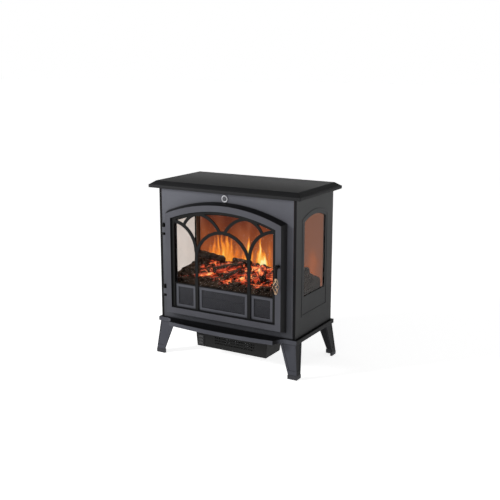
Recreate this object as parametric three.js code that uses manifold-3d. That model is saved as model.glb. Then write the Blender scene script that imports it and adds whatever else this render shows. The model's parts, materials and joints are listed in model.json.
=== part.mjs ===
// Electric fireplace in the style of a small cast stove: a sheet-steel cabinet on four splayed legs, with a
// bow-fronted hearth plate, an arched door that swings on the left, arched side windows, a log and ember bed
// lit by a turning flame rotor, and a fan heater that hangs under the hearth plate.
// Millimetres, +X right, +Y back, +Z up. The origin is on the floor, in the middle of the footprint.

import * as THREE from "three";
import { mergeVertices } from "three/addons/utils/BufferGeometryUtils.js";
import Module from "manifold-3d";

// ---------------------------------------------------------------- driving dimensions

const BODY_WIDTH = 544;
const BODY_DEPTH = 277;
const FLOOR_TO_PLATE = 120;
const PLATE_HEIGHT = 15;
const CABINET_HEIGHT = 473;
const SHEET = 2;
const GAP = 0.3;

const LIP_SIDE = 27;
const LIP_BACK = 12;
const LIP_HEIGHT = 12;
const CROWN_HEIGHT = 24;
const CROWN_INSET = 20;

const HEARTH_SIDE = 9;
const HEARTH_CORNER = 8;
const HEARTH_LEDGE = 44;
const HEARTH_BOW = 58;

const LEG_SPLAY = 13;
const FOOT_HEIGHT = 16;

const DOOR_DEPTH = 27;
const DOOR_HALF = 230;
const DOOR_FLARE = 8;
const DOOR_STILE = 21;
const DOOR_BOTTOM = 164;
const DOOR_APEX = 567;
const DOOR_RADIUS = 598;

const BAR_X = 105;
const BAR_WIDTH = 12;
const ARC_WIDTH = 11.5;
const SMALL_ARC_WIDTH = 10.5;
const SILL_Z = 275;
const FIREBOX_FLOOR = 262;
const SCREEN_Y = 100;

const CORD_X = -220;
const CORD_Z = 165;

// ---------------------------------------------------------------- places worked out from them

const FRONT = -BODY_DEPTH / 2;
const BACK = BODY_DEPTH / 2;
const HALF = BODY_WIDTH / 2;
const PLATE_TOP = FLOOR_TO_PLATE + PLATE_HEIGHT;
const CABINET_BOTTOM = PLATE_TOP + GAP;
const CABINET_TOP = PLATE_TOP + CABINET_HEIGHT - GAP;
const LIP_BOTTOM = PLATE_TOP + CABINET_HEIGHT;
const DOOR_FACE = FRONT - DOOR_DEPTH;
const DOOR_BACK = FRONT - 0.5;
const ARCH_CENTRE = DOOR_APEX - DOOR_RADIUS;
const OPEN_HALF = DOOR_HALF - DOOR_STILE;
const OPEN_BOTTOM = DOOR_BOTTOM + DOOR_STILE;
const OPEN_RADIUS = DOOR_RADIUS - DOOR_STILE;

// ---------------------------------------------------------------- materials

function paint(colour, roughness, metalness) {
  return new THREE.MeshStandardMaterial({ color: colour, roughness, metalness });
}

const CHARCOAL = paint(0x4a4b50, 0.6, 0.35);
const BLACK_IRON = paint(0x1d1e20, 0.6, 0.4);
const BLACK_PLASTIC = paint(0x151515, 0.55, 0);
const STEEL = paint(0xb4b6b8, 0.35, 0.9);
const BRASS = paint(0xb98a4e, 0.35, 0.9);
const AMBER_GLASS = paint(0x8a5a3c, 0.1, 0);
const CLEAR_GLASS = paint(0xb9c2c4, 0.05, 0);
const SCREEN = paint(0x8f4a22, 0.6, 0);
const LOG = paint(0x3b2a20, 0.9, 0);
const EMBER = paint(0xd8431a, 0.8, 0);
const BOARD = paint(0x1f5a35, 0.6, 0);

// ---------------------------------------------------------------- solids

const wasm = await Module();
wasm.setup();

function solid(geometry) {
  const bare = geometry.index ? geometry.toNonIndexed() : geometry.clone();
  bare.deleteAttribute("normal");
  bare.deleteAttribute("uv");
  const merged = mergeVertices(bare, 1e-4);
  const vertProperties = new Float32Array(merged.attributes.position.array);
  const triVerts = new Uint32Array(merged.index.array);
  return new wasm.Manifold(new wasm.Mesh({ numProp: 3, vertProperties, triVerts }));
}

function geometryOf(body) {
  const mesh = body.getMesh();
  const geometry = new THREE.BufferGeometry();
  geometry.setAttribute("position", new THREE.BufferAttribute(mesh.vertProperties, 3));
  geometry.setIndex(new THREE.BufferAttribute(mesh.triVerts, 1));
  const flat = geometry.toNonIndexed();
  flat.computeVertexNormals();
  return flat;
}

function joined(geometries) {
  return geometries.map(solid).reduce((whole, piece) => whole.add(piece));
}

function cut(body, tools) {
  return tools.reduce((rest, tool) => rest.subtract(solid(tool)), solid(body));
}

const fireplace = new THREE.Group();

function add(name, shape, material, parent = fireplace) {
  const geometry = shape.isBufferGeometry ? shape : geometryOf(shape);
  const mesh = new THREE.Mesh(geometry, material);
  mesh.name = name;
  parent.add(mesh);
  return mesh;
}

// ---------------------------------------------------------------- shape helpers

function span(x0, x1, y0, y1, z0, z1) {
  const box = new THREE.BoxGeometry(x1 - x0, y1 - y0, z1 - z0);
  return box.translate((x0 + x1) / 2, (y0 + y1) / 2, (z0 + z1) / 2);
}

function rod(radius, length, axis, sides = 16) {
  const cylinder = new THREE.CylinderGeometry(radius, radius, length, sides);
  if (axis === "x") return cylinder.rotateZ(Math.PI / 2);
  if (axis === "z") return cylinder.rotateX(Math.PI / 2);
  return cylinder;
}

// An outline drawn in x and z, pushed back along +Y from y0 to y1.
function slabXZ(shape, y0, y1, curveSegments = 16) {
  const options = { depth: y1 - y0, bevelEnabled: false, curveSegments };
  return new THREE.ExtrudeGeometry(shape, options).rotateX(Math.PI / 2).translate(0, y1, 0);
}

// An outline drawn in y and z, pushed along +X from x0 to x1.
function slabYZ(shape, x0, x1, curveSegments = 16) {
  const options = { depth: x1 - x0, bevelEnabled: false, curveSegments };
  const basis = new THREE.Matrix4().makeBasis(
    new THREE.Vector3(0, 1, 0),
    new THREE.Vector3(0, 0, 1),
    new THREE.Vector3(1, 0, 0),
  );
  return new THREE.ExtrudeGeometry(shape, options).applyMatrix4(basis).translate(x0, 0, 0);
}

// An outline drawn in x and y, raised from z0 to z1.
function slabXY(shape, z0, z1, curveSegments = 16) {
  const options = { depth: z1 - z0, bevelEnabled: false, curveSegments };
  return new THREE.ExtrudeGeometry(shape, options).translate(0, 0, z0);
}

function rectangle(x0, x1, y0, y1) {
  const corners = [
    [x0, y0],
    [x1, y0],
    [x1, y1],
    [x0, y1],
  ];
  return new THREE.Shape(corners.map(([x, y]) => new THREE.Vector2(x, y)));
}

// A window outline: straight sides and foot, and a head that is an arc about (0, centre).
function archedPoints(half, bottom, centre, radius, steps = 20) {
  const spring = Math.acos(half / radius);
  const points = [new THREE.Vector2(-half, bottom), new THREE.Vector2(half, bottom)];
  for (let i = 0; i <= steps; i += 1) {
    const angle = spring + ((Math.PI - 2 * spring) * i) / steps;
    points.push(new THREE.Vector2(radius * Math.cos(angle), centre + radius * Math.sin(angle)));
  }
  return points;
}

function arched(...sizes) {
  return new THREE.Shape(archedPoints(...sizes));
}

function ringOf(outer, inner) {
  outer.holes.push(inner);
  return outer;
}

// A solid skin through a stack of outlines that all have the same number of points, lowest first,
// each running anticlockwise seen from above.
function loft(rings) {
  const count = rings[0].length;
  const positions = rings.flatMap((ring) => ring.flatMap((p) => [p.x, p.y, p.z]));
  const index = [];
  for (let level = 0; level + 1 < rings.length; level += 1) {
    for (let i = 0; i < count; i += 1) {
      const a = level * count + i;
      const b = level * count + ((i + 1) % count);
      index.push(a, b, b + count, a, b + count, a + count);
    }
  }
  const flat = (ring) => ring.map((p) => new THREE.Vector2(p.x, p.y));
  const lid = (rings.length - 1) * count;
  for (const [a, b, c] of THREE.ShapeUtils.triangulateShape(flat(rings[0]), [])) {
    index.push(c, b, a);
  }
  for (const [a, b, c] of THREE.ShapeUtils.triangulateShape(flat(rings[rings.length - 1]), [])) {
    index.push(lid + a, lid + b, lid + c);
  }
  const geometry = new THREE.BufferGeometry();
  geometry.setAttribute("position", new THREE.Float32BufferAttribute(positions, 3));
  geometry.setIndex(index);
  return geometry;
}

function rectangleRing(x0, x1, y0, y1, z) {
  return [
    new THREE.Vector3(x0, y0, z),
    new THREE.Vector3(x1, y0, z),
    new THREE.Vector3(x1, y1, z),
    new THREE.Vector3(x0, y1, z),
  ];
}

// ---------------------------------------------------------------- cabinet

// The top is a pressed pan: an upright lip, a small step, then a steep crown up to a flat table.
function topPlate() {
  const ring = (inset, z) =>
    rectangleRing(
      -HALF - LIP_SIDE + inset,
      HALF + LIP_SIDE - inset,
      FRONT - LIP_SIDE + inset,
      BACK + LIP_BACK - inset,
      z,
    );
  const wall = 3;
  const step = LIP_BOTTOM + LIP_HEIGHT;
  const table = LIP_BOTTOM + CROWN_HEIGHT;
  const skin = loft([
    ring(1, LIP_BOTTOM),
    ring(0, LIP_BOTTOM + 1.5),
    ring(0, step - 1.5),
    ring(1, step),
    ring(4.5, step + 0.8),
    ring(6, step + 2.6),
    ring(CROWN_INSET - 2, table - 1),
    ring(CROWN_INSET, table),
  ]);
  const hollow = loft([
    ring(wall, LIP_BOTTOM + wall),
    ring(wall, step - 2),
    ring(CROWN_INSET + 2, table - wall),
  ]);
  const mouth = span(-HALF + 12, HALF - 12, FRONT + 12, BACK - 12, LIP_BOTTOM - 1, LIP_BOTTOM + wall + 1);
  return cut(skin, [hollow, mouth]);
}

// The hearth plate's outline: square corners over the legs, and a bowed ledge between them.
function hearthOutline(inset) {
  const side = HALF + HEARTH_SIDE - inset;
  const corner = FRONT - HEARTH_CORNER + inset;
  const shoulder = 210 - inset * 0.4;
  const ledge = FRONT - HEARTH_LEDGE + inset;
  const shape = new THREE.Shape();
  shape.moveTo(-side, BACK + 7 - inset);
  shape.lineTo(-side, corner);
  shape.lineTo(-shoulder - 30, corner);
  shape.quadraticCurveTo(-shoulder - 8, corner - 4, -shoulder, ledge);
  shape.quadraticCurveTo(0, FRONT - HEARTH_BOW * 1.24 + inset, shoulder, ledge);
  shape.quadraticCurveTo(shoulder + 8, corner - 4, shoulder + 30, corner);
  shape.lineTo(side, corner);
  shape.lineTo(side, BACK + 7 - inset);
  shape.closePath();
  return shape;
}

function hearthPlate() {
  const skin = slabXY(hearthOutline(0), FLOOR_TO_PLATE, PLATE_TOP, 14);
  const hollow = slabXY(hearthOutline(3), FLOOR_TO_PLATE - 1, PLATE_TOP - 3, 14);
  const duct = span(-130, 130, FRONT + 44, FRONT + 124, PLATE_TOP - 5, PLATE_TOP + 1);
  return cut(skin, [hollow, duct]);
}

// One leg, drawn for the right front corner: two tapered faces at a right angle that lean outwards.
// Each face has a plain border along its inner edge and its foot, round a sunk field.
function leg() {
  const wall = 5;
  const levels = [
    { z: FOOT_HEIGHT + GAP, corner: LEG_SPLAY, front: 34, side: 29 },
    { z: FLOOR_TO_PLATE + PLATE_HEIGHT - 3 - GAP, corner: 0, front: 62, side: 48 },
  ];
  const section = ({ z, corner, front, side }) => {
    const x = HALF + 2 + corner;
    const y = FRONT - 2 - corner;
    const outline = [
      [x - front, y],
      [x, y],
      [x, y + side],
      [x - wall, y + side],
      [x - wall, y + wall],
      [x - front, y + wall],
    ];
    return outline.map(([px, py]) => new THREE.Vector3(px, py, z));
  };
  const field = ({ z, corner, front, side }, depth) => {
    const x = HALF + 2 + corner;
    const y = FRONT - 2 - corner;
    const frontFace = rectangleRing(x - front + 9, x - 3, y - 5, y + depth, z);
    const sideFace = rectangleRing(x - depth, x + 5, y + 3, y + side - 8, z);
    return [frontFace, sideFace];
  };
  const raise = (level, z) => {
    const [low, high] = levels;
    const t = (z - low.z) / (high.z - low.z);
    const mix = (key) => low[key] + (high[key] - low[key]) * t;
    return { ...level, z, corner: mix("corner"), front: mix("front"), side: mix("side") };
  };
  const low = field(raise(levels[0], 30), 1.2);
  const high = field(raise(levels[1], 118), 1.2);
  const tools = low.map((ring, i) => loft([ring, high[i]]));
  return cut(loft(levels.map(section)), tools);
}

// One foot: an angle a little larger than the leg's end, with a softened upper edge.
function foot() {
  const x = HALF + 2 + LEG_SPLAY + 1;
  const y = FRONT - 2 - LEG_SPLAY - 1;
  const section = (inset, z) => {
    const wall = 8;
    const outline = [
      [x - 36 + inset, y + inset],
      [x - inset, y + inset],
      [x - inset, y + 31 - inset],
      [x - wall, y + 31 - inset],
      [x - wall, y + wall],
      [x - 36 + inset, y + wall],
    ];
    return outline.map(([px, py]) => new THREE.Vector3(px, py, z));
  };
  return loft([section(1, 0), section(0, 1.5), section(0, FOOT_HEIGHT - 3), section(1, FOOT_HEIGHT)]);
}

// The other corners are mirror images of the right front one.
function mirrored(geometry, flipX, flipY) {
  const copy = geometry.clone();
  copy.scale(flipX ? -1 : 1, flipY ? -1 : 1, 1);
  if (flipX !== flipY) {
    const position = copy.attributes.position;
    for (let i = 0; i < position.count; i += 3) {
      for (const axis of ["X", "Y", "Z"]) {
        const second = position[`get${axis}`](i + 1);
        position[`set${axis}`](i + 1, position[`get${axis}`](i + 2));
        position[`set${axis}`](i + 2, second);
      }
    }
  }
  return copy;
}

// Flat sheet between the side panels' corner flanges, open behind the door.
function frontPanel() {
  const edge = HALF - 10;
  const sheet = rectangle(-edge, edge, CABINET_BOTTOM, CABINET_TOP);
  sheet.holes.push(arched(200, 190, ARCH_CENTRE, OPEN_RADIUS - 9));
  return slabXZ(sheet, FRONT, FRONT + SHEET);
}

const WINDOW_HALF = 79;
const WINDOW_BOTTOM = 271;
const WINDOW_CENTRE = 349;
const WINDOW_RADIUS = 192;

// Right-hand side: a sheet with a corner flange turned onto the front, an arched window,
// and a raised bead that frames the window and the blind panel below it.
function sidePanel() {
  const sheet = rectangle(FRONT, BACK, CABINET_BOTTOM, CABINET_TOP);
  sheet.holes.push(arched(WINDOW_HALF, WINDOW_BOTTOM, WINDOW_CENTRE, WINDOW_RADIUS));
  const wall = slabYZ(sheet, HALF - SHEET, HALF);
  const flange = span(HALF - 9.5, HALF - SHEET + 0.5, FRONT, FRONT + SHEET, CABINET_BOTTOM, CABINET_TOP);
  const outer = arched(96, 203, WINDOW_CENTRE, WINDOW_RADIUS + 17);
  const bead = ringOf(outer, arched(90, 209, WINDOW_CENTRE, WINDOW_RADIUS + 11));
  return joined([wall, flange, slabYZ(bead, HALF - 0.5, HALF + 1.2)]);
}

function backPanel() {
  const edge = HALF - SHEET - GAP;
  const holes = [rod(9, 20, "y").translate(CORD_X, BACK, CORD_Z)];
  for (const z of [186, 212, 560, 580]) {
    for (let i = -5; i <= 5; i += 1) {
      holes.push(span(i * 30 - 11, i * 30 + 11, BACK - 9, BACK + 9, z, z + 7));
    }
  }
  return cut(span(-edge, edge, BACK - SHEET, BACK, CABINET_BOTTOM, CABINET_TOP), holes);
}

function sideGlass() {
  const pane = arched(WINDOW_HALF + 6, WINDOW_BOTTOM - 6, WINDOW_CENTRE, WINDOW_RADIUS + 6);
  return slabYZ(pane, HALF - SHEET - GAP - 3, HALF - SHEET - GAP);
}

function sideRetainer() {
  const outer = arched(WINDOW_HALF + 12, WINDOW_BOTTOM - 12, WINDOW_CENTRE, WINDOW_RADIUS + 12);
  const ring = ringOf(outer, arched(WINDOW_HALF, WINDOW_BOTTOM, WINDOW_CENTRE, WINDOW_RADIUS));
  return slabYZ(ring, HALF - SHEET - 7.1, HALF - SHEET - 3.6);
}

function cabinet() {
  add("top_plate", topPlate(), CHARCOAL);
  add("hearth_plate", hearthPlate(), CHARCOAL);
  add("front_panel", frontPanel(), CHARCOAL);
  add("back_panel", backPanel(), CHARCOAL);
  const legShape = geometryOf(leg());
  const footShape = foot().toNonIndexed();
  const sideShape = geometryOf(sidePanel());
  const glassShape = sideGlass();
  const retainerShape = sideRetainer();
  for (const [side, flipX] of [
    ["right", false],
    ["left", true],
  ]) {
    add(`${side}_side_panel`, mirrored(sideShape, flipX, false), CHARCOAL);
    add(`${side}_side_glass`, mirrored(glassShape, flipX, false), AMBER_GLASS);
    add(`${side}_glass_retainer`, mirrored(retainerShape, flipX, false), BLACK_IRON);
    for (const [end, flipY] of [
      ["front", false],
      ["back", true],
    ]) {
      add(`${end}_${side}_leg`, mirrored(legShape, flipX, flipY), CHARCOAL);
      add(`${end}_${side}_foot`, mirrored(footShape, flipX, flipY), BLACK_PLASTIC);
    }
  }
}

// ---------------------------------------------------------------- door

// The frame is a hollow pressing: a flat face, and outer walls that flare towards the cabinet.
function doorFrame() {
  const ring = (grow, y) => {
    const half = DOOR_HALF + grow;
    const outline = archedPoints(half, DOOR_BOTTOM - grow, ARCH_CENTRE, DOOR_RADIUS + grow);
    return outline.map((p) => new THREE.Vector3(p.x, p.y, -y));
  };
  const stand = (rings) => loft(rings).rotateX(Math.PI / 2);
  const opening = (grow) =>
    arched(OPEN_HALF + grow, OPEN_BOTTOM - grow, ARCH_CENTRE, OPEN_RADIUS + grow);
  const shell = stand([ring(DOOR_FLARE, DOOR_BACK), ring(1, DOOR_FACE + 1.5), ring(0, DOOR_FACE)]);
  const hollow = stand([ring(DOOR_FLARE - 2, DOOR_BACK + 1), ring(-1.6, DOOR_FACE + 2)]);
  const window = slabXZ(opening(0), DOOR_FACE - 1, DOOR_BACK + 2);
  const lining = slabXZ(ringOf(opening(2), opening(0)), DOOR_FACE + 1, DOOR_BACK - 1);
  return cut(shell, [hollow, window]).add(solid(lining));
}

// A flat bar that follows an arc about (cx, cz), drawn in x and z.
function arcBar(cx, cz, radius, from, to, width, steps = 12) {
  const edge = (r) =>
    Array.from({ length: steps + 1 }, (_, i) => {
      const angle = from + ((to - from) * i) / steps;
      return new THREE.Vector2(cx + r * Math.cos(angle), cz + r * Math.sin(angle));
    });
  return new THREE.Shape([...edge(radius + width / 2), ...edge(radius - width / 2).reverse()]);
}

// Black tracery in front of the glass: a border, two uprights, a round arch between them,
// quarter arches outside them and two small arches that meet under the head.
function doorLattice() {
  const y0 = DOOR_FACE + 6;
  const y1 = y0 + 4;
  const border = ringOf(
    arched(OPEN_HALF - GAP, OPEN_BOTTOM + GAP, ARCH_CENTRE, OPEN_RADIUS - GAP),
    arched(OPEN_HALF - 12, OPEN_BOTTOM + 3, ARCH_CENTRE, OPEN_RADIUS - 10),
  );
  const keep = slabXZ(
    arched(OPEN_HALF - 2, OPEN_BOTTOM + 1, ARCH_CENTRE, OPEN_RADIUS - 2),
    y0 - 1,
    y1 + 1,
  );
  const sill = span(-OPEN_HALF + 2, OPEN_HALF - 2, y0, y1, SILL_Z - 1.5, SILL_Z + 1.5);
  const arch = BAR_X + 2;
  const spring = 367;
  const bars = [slabXZ(arcBar(0, spring, arch, 0, Math.PI, ARC_WIDTH), y0, y1), sill];
  for (const side of [-1, 1]) {
    const x = side * BAR_X;
    bars.push(span(x - BAR_WIDTH / 2, x + BAR_WIDTH / 2, y0, y1, OPEN_BOTTOM + 1, 397));
    const turned = (from, to) => (side < 0 ? [from, to] : [Math.PI - to, Math.PI - from]);
    bars.push(slabXZ(arcBar(x + side * 103, 397, 101, ...turned(0, 1.55), ARC_WIDTH), y0, y1));
    bars.push(slabXZ(arcBar(x - side * 17, 456, 74, ...turned(1.6, 2.78), SMALL_ARC_WIDTH), y0, y1));
    bars.push(slabXZ(arcBar(x, 424, arch, ...turned(0.42, 1.62), SMALL_ARC_WIDTH), y0, y1));
  }
  const tracery = joined(bars).intersect(solid(keep));
  return tracery.add(solid(slabXZ(border, y0, y1)));
}

const BAR_CLEAR = BAR_WIDTH / 2 + 0.5;
const GRILLES = [
  [-OPEN_HALF + 13, -BAR_X - BAR_CLEAR],
  [-BAR_X + BAR_CLEAR, BAR_X - BAR_CLEAR],
  [BAR_X + BAR_CLEAR, OPEN_HALF - 13],
];
const GRILLE_BOTTOM = OPEN_BOTTOM + 3;
const GRILLE_TOP = SILL_Z - 2;
const GRILLE_BORDER = 11;

// The plate below the glass: three openings, each with a plain border, parted by the uprights.
function lowerPanel() {
  const y0 = DOOR_FACE + 10.3;
  const plate = span(-OPEN_HALF + 1, OPEN_HALF - 1, y0, y0 + 2, OPEN_BOTTOM + 1, GRILLE_TOP);
  const openings = GRILLES.map(([x0, x1]) => {
    const foot = GRILLE_BOTTOM + GRILLE_BORDER;
    const head = GRILLE_TOP - GRILLE_BORDER;
    return span(x0 + GRILLE_BORDER, x1 - GRILLE_BORDER, y0 - 1, y0 + 3, foot, head);
  });
  return cut(plate, openings);
}

// Punched sheet behind the three openings.
function grilleSheet() {
  const y0 = DOOR_FACE + 12.6;
  const sheet = span(-OPEN_HALF + 3, OPEN_HALF - 3, y0, y0 + 1, GRILLE_BOTTOM + 2, GRILLE_TOP - 2);
  const holes = [];
  for (const [x0, x1] of GRILLES) {
    const columns = Math.round((x1 - x0 - 22) / 15);
    const pitch = (x1 - x0 - 24) / columns;
    for (let row = 0; row < 4; row += 1) {
      for (let column = 0; column < columns; column += 1) {
        const x = x0 + 12 + pitch * column;
        const z = GRILLE_BOTTOM + 13 + row * 15;
        holes.push(span(x + 2.5, x + pitch - 2.5, y0 - 1, y0 + 3, z + 2, z + 12));
      }
    }
  }
  return cut(sheet, holes);
}

function doorGlass() {
  const pane = arched(OPEN_HALF - 1, SILL_Z - 0.7, ARCH_CENTRE, OPEN_RADIUS - 1);
  return slabXZ(pane, DOOR_FACE + 10.3, DOOR_FACE + 14.3);
}

function doorRetainer() {
  const outer = arched(OPEN_HALF - 0.5, OPEN_BOTTOM + 0.5, ARCH_CENTRE, OPEN_RADIUS - 0.5);
  const ring = ringOf(outer, arched(OPEN_HALF - 14, OPEN_BOTTOM + 12, ARCH_CENTRE, OPEN_RADIUS - 14));
  return slabXZ(ring, DOOR_FACE + 14.6, DOOR_FACE + 16.6);
}

const HINGE_X = -DOOR_HALF - DOOR_FLARE - 8;
const HINGE_Y = FRONT - 14;
const HINGES = { upper: 461, lower: 238 };
const HANDLE_X = DOOR_HALF - 8;
const HANDLE_Z = 387;
const GRIP_Y = DOOR_FACE - 18;

// Two fixed lugs on a plate, with the door's knuckle between them and a pin through all three.
function hingeBracket(z) {
  const lug = (low) => {
    const barrel = rod(6, 9, "z").translate(HINGE_X, HINGE_Y, z + low);
    const web = span(HINGE_X - 4, HINGE_X + 4, HINGE_Y, FRONT - 2, z + low - 4.5, z + low + 4.5);
    return [barrel, web];
  };
  const plate = span(HINGE_X - 8, HINGE_X + 5, FRONT - 3, FRONT - GAP, z - 19.5, z + 19.5);
  const bore = rod(3, 60, "z").translate(HINGE_X, HINGE_Y, z);
  return joined([plate, ...lug(-14.5), ...lug(14.5)]).subtract(solid(bore));
}

function doorKnuckle(z) {
  const barrel = rod(5.5, 19, "z").translate(HINGE_X, HINGE_Y, z);
  const leaf = span(HINGE_X, HINGE_X + 12.2, HINGE_Y - 5.5, HINGE_Y - 2.5, z - 9.5, z + 9.5);
  const bore = rod(3, 40, "z").translate(HINGE_X, HINGE_Y, z);
  return joined([barrel, leaf]).subtract(solid(bore));
}

function hingePin(z) {
  const shaft = rod(2.6, 40, "z").translate(HINGE_X, HINGE_Y, z);
  const head = new THREE.SphereGeometry(4.2, 12, 8).scale(1, 1, 0.6);
  return joined([shaft, head.translate(HINGE_X, HINGE_Y, z + 22)]);
}

// The grip is a basket of wires that swell out between two collars.
function coilGrip() {
  const strands = 4;
  const turns = 0.6;
  const top = HANDLE_Z - 40;
  const length = 46;
  const pieces = [
    rod(4.5, 6, "z").translate(HANDLE_X, GRIP_Y, top + 1),
    rod(4.5, 6, "z").translate(HANDLE_X, GRIP_Y, top - length - 1),
  ];
  for (let strand = 0; strand < strands; strand += 1) {
    const points = [];
    for (let i = 0; i <= 16; i += 1) {
      const t = i / 16;
      const angle = (strand / strands + t * turns) * Math.PI * 2;
      const radius = 2.4 + 7.4 * Math.sin(Math.PI * t) ** 0.8;
      const x = HANDLE_X + radius * Math.cos(angle);
      const y = GRIP_Y + radius * Math.sin(angle);
      points.push(new THREE.Vector3(x, y, top - length * t));
    }
    pieces.push(wire(points, 1.7, 22));
  }
  return joined(pieces);
}

function wire(points, radius, steps) {
  const section = new THREE.Shape();
  for (let i = 0; i < 6; i += 1) {
    const angle = (i / 6) * Math.PI * 2;
    const place = [radius * Math.cos(angle), radius * Math.sin(angle)];
    if (i === 0) section.moveTo(...place);
    else section.lineTo(...place);
  }
  section.closePath();
  const path = new THREE.CatmullRomCurve3(points);
  return new THREE.ExtrudeGeometry(section, { steps, bevelEnabled: false, extrudePath: path });
}

function handleSpindle() {
  const shaft = rod(5, 25.4, "y").translate(HANDLE_X, DOOR_FACE - 0.9, HANDLE_Z);
  const cam = span(HANDLE_X - 4, HANDLE_X + 4, DOOR_FACE + 9, DOOR_FACE + 12, HANDLE_Z - 8, HANDLE_Z + 5);
  return joined([shaft, cam]);
}

function handleArm() {
  const hub = rod(8, 8, "y").translate(HANDLE_X, GRIP_Y, HANDLE_Z);
  const stem = new THREE.CylinderGeometry(4, 5, 32, 12).rotateX(Math.PI / 2);
  return joined([hub, stem.translate(HANDLE_X, GRIP_Y, HANDLE_Z - 19)]);
}

function door() {
  const swing = new THREE.Group();
  fireplace.add(swing);
  const bore = rod(5.4, 20, "y").translate(HANDLE_X, DOOR_FACE, HANDLE_Z);
  add("door_frame", doorFrame().subtract(solid(bore)), CHARCOAL, swing);
  add("door_lattice", doorLattice(), BLACK_IRON, swing);
  add("door_glass", doorGlass(), CLEAR_GLASS, swing);
  add("door_glass_retainer", doorRetainer(), BLACK_IRON, swing);
  add("door_lower_panel", lowerPanel(), CHARCOAL, swing);
  add("grille_sheet", grilleSheet(), BLACK_IRON, swing);
  for (const [name, z] of Object.entries(HINGES)) {
    add(`${name}_hinge_bracket`, hingeBracket(z), BLACK_IRON);
    add(`${name}_hinge_pin`, hingePin(z), STEEL);
    add(`${name}_door_knuckle`, doorKnuckle(z), CHARCOAL, swing);
  }
  add("handle_spindle", handleSpindle(), BLACK_IRON, swing);
  add("handle_arm", handleArm(), BLACK_IRON, swing);
  add("coil_grip", coilGrip(), BRASS, swing);
  add("magnet_catch", span(213, 226, FRONT - 9, FRONT - GAP, 440, 470), BLACK_PLASTIC);
}

function badge() {
  const profile = [
    [0, 0],
    [12.5, 0],
    [12.5, 1],
    [11, 2.2],
    [6, 3.1],
    [0, 3.4],
  ];
  const points = profile.map(([r, h]) => new THREE.Vector2(r, h));
  const dome = new THREE.LatheGeometry(points, 24).rotateX(Math.PI);
  add("round_badge", dome.translate(0, FRONT - GAP, 588), STEEL);
}

// ---------------------------------------------------------------- fire

const FIRE_HALF = HALF - 12;
const FIRE_FRONT = FRONT + 6;

// A log along a bent line, thicker in the middle, with rough facets.
function log(from, to, radius, seed) {
  const start = new THREE.Vector3(...from);
  const end = new THREE.Vector3(...to);
  const length = start.distanceTo(end);
  const sides = 9;
  const levels = 5;
  const rings = [];
  for (let level = 0; level < levels; level += 1) {
    const t = level / (levels - 1);
    const swell = radius * (0.86 + 0.14 * Math.sin(Math.PI * t));
    const ring = [];
    for (let i = 0; i < sides; i += 1) {
      const angle = (i / sides) * Math.PI * 2;
      const rough = 1 + 0.07 * Math.sin(seed * 7 + i * 2.3 + level * 1.7);
      const r = swell * rough;
      ring.push(new THREE.Vector3(r * Math.cos(angle), r * Math.sin(angle), length * t));
    }
    rings.push(ring);
  }
  const turn = new THREE.Quaternion();
  turn.setFromUnitVectors(new THREE.Vector3(0, 0, 1), end.clone().sub(start).normalize());
  return loft(rings).applyQuaternion(turn).translate(...from);
}

// The ember bed is a mound that climbs from the front sill to the back.
function emberBed() {
  const columns = 16;
  const rows = 7;
  const base = FIREBOX_FLOOR + GAP;
  const x0 = -FIRE_HALF + 8;
  const y0 = FIRE_FRONT + 8;
  const y1 = SCREEN_Y - 14;
  const lumps = (u, v) => 3 * Math.sin(u * 23 + v * 9) * Math.cos(v * 14 - u * 5);
  const height = (u, v) => 10 + 52 * v ** 0.55 + lumps(u, v);
  const top = [];
  const bottom = [];
  for (let j = 0; j <= rows; j += 1) {
    for (let i = 0; i <= columns; i += 1) {
      const u = i / columns;
      const v = j / rows;
      const x = x0 - 2 * x0 * u;
      const y = y0 + (y1 - y0) * v;
      const rim = Math.min(1, 5 * Math.min(v + 0.12, 1.12 - v)) * Math.min(1, 0.8 + 2.4 * Math.min(u, 1 - u));
      top.push(x, y, base + height(u, v) * rim + 1);
      bottom.push(x, y, base);
    }
  }
  const row = columns + 1;
  const under = row * (rows + 1);
  const index = [];
  const quad = (a, b, c, d) => index.push(a, b, c, a, c, d);
  for (let j = 0; j < rows; j += 1) {
    for (let i = 0; i < columns; i += 1) {
      const a = j * row + i;
      quad(a, a + 1, a + row + 1, a + row);
      quad(under + a, under + a + row, under + a + row + 1, under + a + 1);
    }
  }
  for (let i = 0; i < columns; i += 1) {
    const far = rows * row + i;
    quad(under + i, under + i + 1, i + 1, i);
    quad(under + far + 1, under + far, far, far + 1);
  }
  for (let j = 0; j < rows; j += 1) {
    const near = j * row;
    const far = near + columns;
    quad(under + near + row, under + near, near, near + row);
    quad(under + far, under + far + row, far + row, far);
  }
  const geometry = new THREE.BufferGeometry();
  geometry.setAttribute("position", new THREE.Float32BufferAttribute([...top, ...bottom], 3));
  geometry.setIndex(index);
  return geometry;
}

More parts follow.
